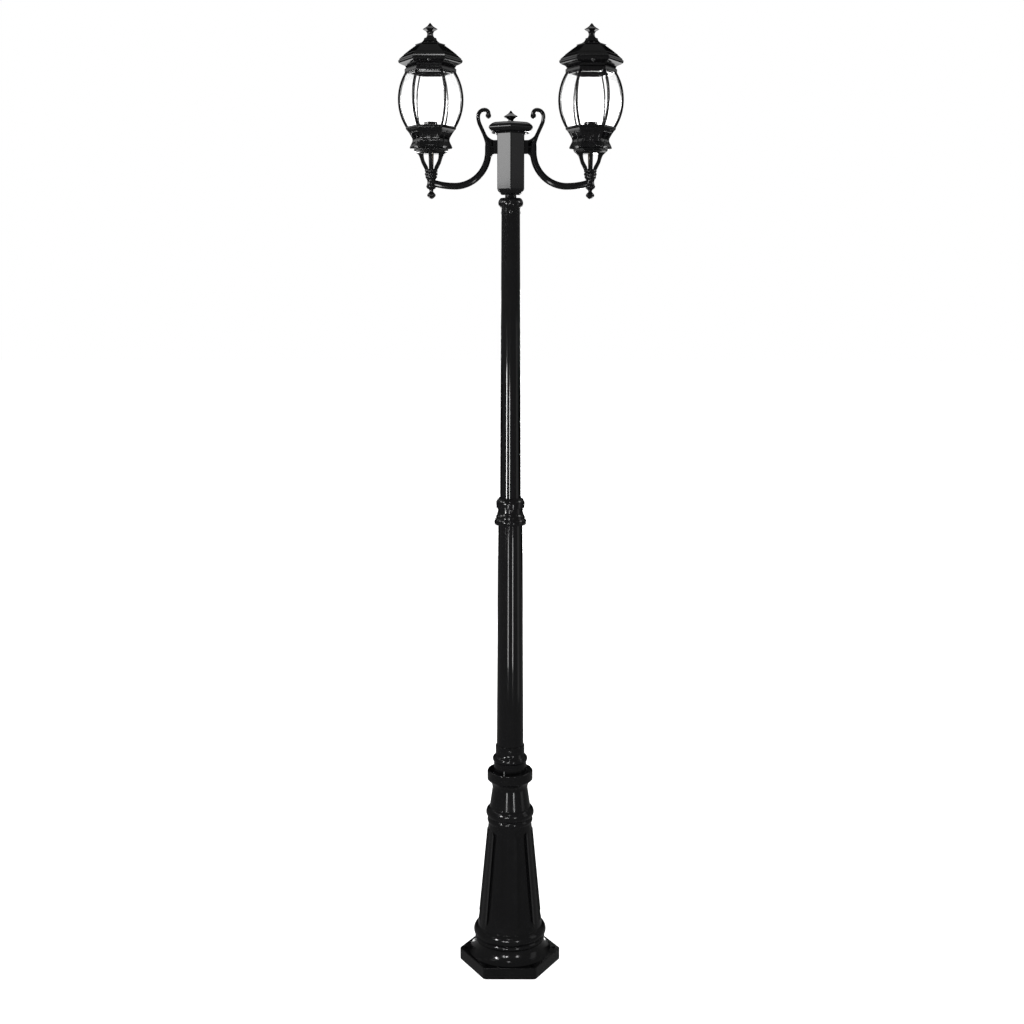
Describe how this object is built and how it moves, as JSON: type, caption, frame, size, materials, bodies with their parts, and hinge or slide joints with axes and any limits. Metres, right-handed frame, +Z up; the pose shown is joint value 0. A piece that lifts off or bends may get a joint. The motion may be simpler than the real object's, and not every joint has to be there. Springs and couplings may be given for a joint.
{
  "type": "double head lamp post",
  "caption": "Garden lamp post: hexagonal panelled foot, tapered tubes with collars, and scrolled arms that carry lanterns with curved glass panes and lift-off roofs.",
  "frame": {"origin": "middle of the foot plate, on the ground", "axes": "+Z up the post, +X to the right-hand lantern, -Y to the front"},
  "size_m": [0.5244, 0.2226, 2.3005],
  "materials": {
    "black_coated_aluminium": "gloss black coating",
    "black_painted_steel": "gloss black",
    "zinc_plated_steel": "satin",
    "brass": "satin",
    "black_phenolic": "gloss moulding",
    "white_nylon": "matte",
    "black_sheathing": "matte",
    "clear_glass": "clear"
  },
  "bodies": {
    "post": {"base_casting": "black_coated_aluminium", "base_collar": "black_coated_aluminium", "lower_tube": "black_coated_aluminium", "mid_collar": "black_coated_aluminium", "upper_tube": "black_coated_aluminium", "top_collar": "black_coated_aluminium", "tube_set_screws": "black_painted_steel"},
    "head": {"hub_column": "black_coated_aluminium", "hub_spigot": "black_coated_aluminium", "spigot_nut": "zinc_plated_steel", "hub_cap": "black_coated_aluminium", "hub_finial": "black_coated_aluminium", "left_arm": "black_coated_aluminium", "right_arm": "black_coated_aluminium", "arm_bolts": "zinc_plated_steel", "terminal_block": "white_nylon", "left_arm_lead": "black_sheathing", "right_arm_lead": "black_sheathing"},
    "left_lantern": {"left_basket": "black_coated_aluminium", "left_stem_nipple": "brass", "left_stem_nut": "brass", "left_drop_finial": "black_coated_aluminium", "left_crown": "black_coated_aluminium", "left_cage": "black_coated_aluminium", "left_pane_clips": "black_painted_steel", "left_lampholder": "black_phenolic", "left_lampholder_sleeve": "brass", "left_lampholder_bracket": "zinc_plated_steel", "left_stem_lead": "black_sheathing", "left_pane_back_right": "clear_glass", "left_pane_back": "clear_glass", "left_pane_back_left": "clear_glass", "left_pane_front_left": "clear_glass", "left_pane_front": "clear_glass", "left_pane_front_right": "clear_glass"},
    "left_roof": {"left_roof": "black_coated_aluminium", "left_roof_finial": "black_coated_aluminium", "left_roof_lock_screws": "black_painted_steel"},
    "right_lantern": {"right_basket": "black_coated_aluminium", "right_stem_nipple": "brass", "right_stem_nut": "brass", "right_drop_finial": "black_coated_aluminium", "right_crown": "black_coated_aluminium", "right_cage": "black_coated_aluminium", "right_pane_clips": "black_painted_steel", "right_lampholder": "black_phenolic", "right_lampholder_sleeve": "brass", "right_lampholder_bracket": "zinc_plated_steel", "right_stem_lead": "black_sheathing", "right_pane_back_right": "clear_glass", "right_pane_back": "clear_glass", "right_pane_back_left": "clear_glass", "right_pane_front_left": "clear_glass", "right_pane_front": "clear_glass", "right_pane_front_right": "clear_glass"},
    "right_roof": {"right_roof": "black_coated_aluminium", "right_roof_finial": "black_coated_aluminium", "right_roof_lock_screws": "black_painted_steel"}
  },
  "joints": [
    {"name": "head_swivel", "type": "hinge", "parent": "post", "child": "head", "pos_m": [0, 0, 1.907], "axis": [0, 0, 1], "range_deg": [-180, 180]},
    {"name": "left_lantern_swivel", "type": "hinge", "parent": "head", "child": "left_lantern", "pos_m": [-0.186, 0, 1.95], "axis": [0, 0, 1], "range_deg": [-170, 170]},
    {"name": "left_roof_lift", "type": "slide", "parent": "left_lantern", "child": "left_roof", "axis": [0, 0, 1], "range_m": [0, 0.25]},
    {"name": "right_lantern_swivel", "type": "hinge", "parent": "head", "child": "right_lantern", "pos_m": [0.186, 0, 1.95], "axis": [0, 0, 1], "range_deg": [-170, 170]},
    {"name": "right_roof_lift", "type": "slide", "parent": "right_lantern", "child": "right_roof", "axis": [0, 0, 1], "range_m": [0, 0.25]}
  ]
}
